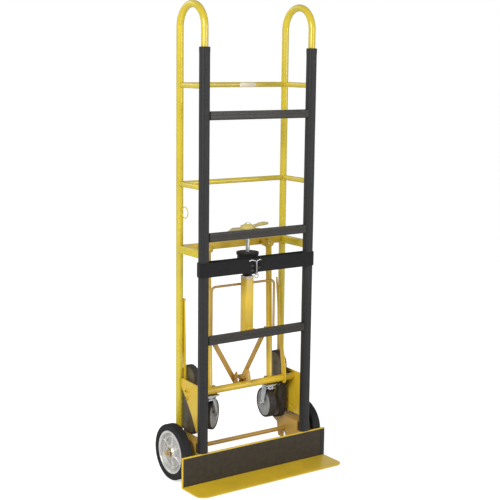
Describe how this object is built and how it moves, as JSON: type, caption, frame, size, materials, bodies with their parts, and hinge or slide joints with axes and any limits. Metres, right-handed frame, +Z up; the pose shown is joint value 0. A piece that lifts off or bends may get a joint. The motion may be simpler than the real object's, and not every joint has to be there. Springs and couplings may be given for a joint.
{
  "type": "convertible hand truck",
  "caption": "Tall two-wheel hand truck with looped handles, padded rails, wide toe plate, strap ratchet, stair-climbing tracks and a swing-out caster carriage.",
  "frame": {"origin": "on the floor, on the centre plane, under the front face of the toe plate's pad", "axes": "+X to the truck's left-hand side as seen by a person standing behind it, which is the viewer's right from the load side; +Y from the load side towards the handles' side; +Z up"},
  "size_m": [0.6466, 0.3286, 1.6955],
  "materials": {
    "yellow_paint": "gloss enamel",
    "gold_paint": "gloss enamel, shaded side",
    "black_paint": "satin enamel",
    "cover_vinyl": "grained vinyl",
    "pad_rubber": "matt",
    "cast_alloy": "as cast",
    "tyre_rubber": "matt",
    "bright_steel": "zinc and chrome plate",
    "black_plastic": "moulded",
    "webbing": "woven nylon"
  },
  "bodies": {
    "chassis": {"left_frame_tube": "yellow_paint", "right_frame_tube": "yellow_paint", "left_rail_cover": "cover_vinyl", "right_rail_cover": "cover_vinyl", "upper_rear_crossbar": "yellow_paint", "middle_rear_crossbar": "yellow_paint", "lower_rear_crossbar": "gold_paint", "side_rungs": "yellow_paint", "upper_front_crossbar": "black_paint", "middle_front_crossbar": "black_paint", "lower_front_crossbar": "black_paint", "label_plate": "bright_steel", "toe_plate": "yellow_paint", "toe_plate_pad": "pad_rubber", "gusset_plates": "yellow_paint", "axle_brackets": "gold_paint", "main_axle": "gold_paint", "axle_spacers": "cast_alloy", "cotter_pins": "bright_steel", "carriage_stop_tube": "yellow_paint", "side_struts": "yellow_paint", "carriage_guide_arm": "yellow_paint", "left_climber_frame": "cast_alloy", "right_climber_frame": "cast_alloy", "left_climber_belt": "tyre_rubber", "right_climber_belt": "tyre_rubber", "centre_post": "yellow_paint", "recoil_case": "black_plastic", "ratchet_bracket": "yellow_paint", "left_strap": "webbing", "right_strap": "webbing", "strap_clips": "bright_steel", "wire_keeper": "yellow_paint", "hinge_lugs": "yellow_paint"},
    "left_wheel": {"left_wheel_hub": "cast_alloy", "left_tyre": "tyre_rubber"},
    "right_wheel": {"right_wheel_hub": "cast_alloy", "right_tyre": "tyre_rubber"},
    "carriage": {"carriage_frame": "yellow_paint", "v_brace": "gold_paint", "grab_bail": "gold_paint", "latch_bracket": "gold_paint", "caster_plates": "bright_steel"},
    "latch": {"carriage_latch": "bright_steel"},
    "left_swivel": {"left_caster_fork": "bright_steel"},
    "right_swivel": {"right_caster_fork": "bright_steel"},
    "left_caster": {"left_caster_wheel": "tyre_rubber"},
    "right_caster": {"right_caster_wheel": "tyre_rubber"},
    "left_top_roller": {"left_upper_roller": "black_plastic"},
    "left_foot_roller": {"left_lower_roller": "black_plastic"},
    "right_top_roller": {"right_upper_roller": "black_plastic"},
    "right_foot_roller": {"right_lower_roller": "black_plastic"},
    "spool": {"ratchet_shaft": "bright_steel", "belt_spool": "black_plastic", "belt_roll": "webbing", "ratchet_wheel": "bright_steel"},
    "lever": {"ratchet_lever": "yellow_paint"},
    "pawl": {"ratchet_pawl": "bright_steel"},
    "strap_pin": {"strap_pin": "bright_steel"},
    "pin_ring": {"pin_ring": "bright_steel"}
  },
  "joints": [
    {"name": "left_wheel_spin", "type": "hinge", "parent": "chassis", "child": "left_wheel", "pos_m": [-0.29, 0.109, 0.1016], "axis": [1, 0, 0], "continuous": true},
    {"name": "right_wheel_spin", "type": "hinge", "parent": "chassis", "child": "right_wheel", "pos_m": [0.29, 0.109, 0.1016], "axis": [1, 0, 0], "continuous": true},
    {"name": "carriage_swing", "type": "hinge", "parent": "chassis", "child": "carriage", "pos_m": [0, 0.128, 0.822], "axis": [1, 0, 0], "range_deg": [0, 37]},
    {"name": "latch_close", "type": "hinge", "parent": "carriage", "child": "latch", "pos_m": [0, 0.109, 0.336], "axis": [1, 0, 0], "range_deg": [0, 36]},
    {"name": "left_caster_swivel", "type": "hinge", "parent": "carriage", "child": "left_swivel", "pos_m": [-0.138, 0.111, 0.27], "axis": [0, 0, 1], "range_deg": [-170, 65]},
    {"name": "right_caster_swivel", "type": "hinge", "parent": "carriage", "child": "right_swivel", "pos_m": [0.138, 0.111, 0.27], "axis": [0, 0, 1], "range_deg": [-5, 230]},
    {"name": "left_caster_spin", "type": "hinge", "parent": "left_swivel", "child": "left_caster", "pos_m": [-0.11909, 0.12578, 0.2088], "axis": [0.6157, -0.788, 0], "continuous": true},
    {"name": "right_caster_spin", "type": "hinge", "parent": "right_swivel", "child": "right_caster", "pos_m": [0.14134, 0.13477, 0.2088], "axis": [0.9903, -0.1392, 0], "continuous": true},
    {"name": "left_top_roller_spin", "type": "hinge", "parent": "chassis", "child": "left_top_roller", "pos_m": [-0.1945, 0.145, 0.353], "axis": [1, 0, 0], "continuous": true},
    {"name": "left_foot_roller_spin", "type": "hinge", "parent": "chassis", "child": "left_foot_roller", "pos_m": [-0.1945, 0.145, 0.189], "axis": [1, 0, 0], "continuous": true},
    {"name": "right_top_roller_spin", "type": "hinge", "parent": "chassis", "child": "right_top_roller", "pos_m": [0.1945, 0.145, 0.353], "axis": [1, 0, 0], "continuous": true},
    {"name": "right_foot_roller_spin", "type": "hinge", "parent": "chassis", "child": "right_foot_roller", "pos_m": [0.1945, 0.145, 0.189], "axis": [1, 0, 0], "continuous": true},
    {"name": "spool_wind", "type": "hinge", "parent": "chassis", "child": "spool", "pos_m": [0, 0.072, 0.8], "axis": [0, 0, 1], "continuous": true},
    {"name": "lever_swing", "type": "hinge", "parent": "chassis", "child": "lever", "pos_m": [0, 0.072, 0.905], "axis": [0, 0, 1], "range_deg": [-30, 60]},
    {"name": "pawl_travel", "type": "slide", "parent": "lever", "child": "pawl", "axis": [0.9063, 0.4226, 0], "range_m": [0, 0.0024]},
    {"name": "strap_pin_pull", "type": "slide", "parent": "chassis", "child": "strap_pin", "axis": [0, -1, 0], "range_m": [0, 0.03]},
    {"name": "pin_ring_swing", "type": "hinge", "parent": "strap_pin", "child": "pin_ring", "pos_m": [-0.021, -0.0146, 0.747], "axis": [0, 1, 0], "range_deg": [-30, 30]}
  ],
  "couplings": [
    {"joint": "left_foot_roller_spin", "follows": "left_top_roller_spin", "ratio": 1},
    {"joint": "right_foot_roller_spin", "follows": "right_top_roller_spin", "ratio": 1}
  ]
}
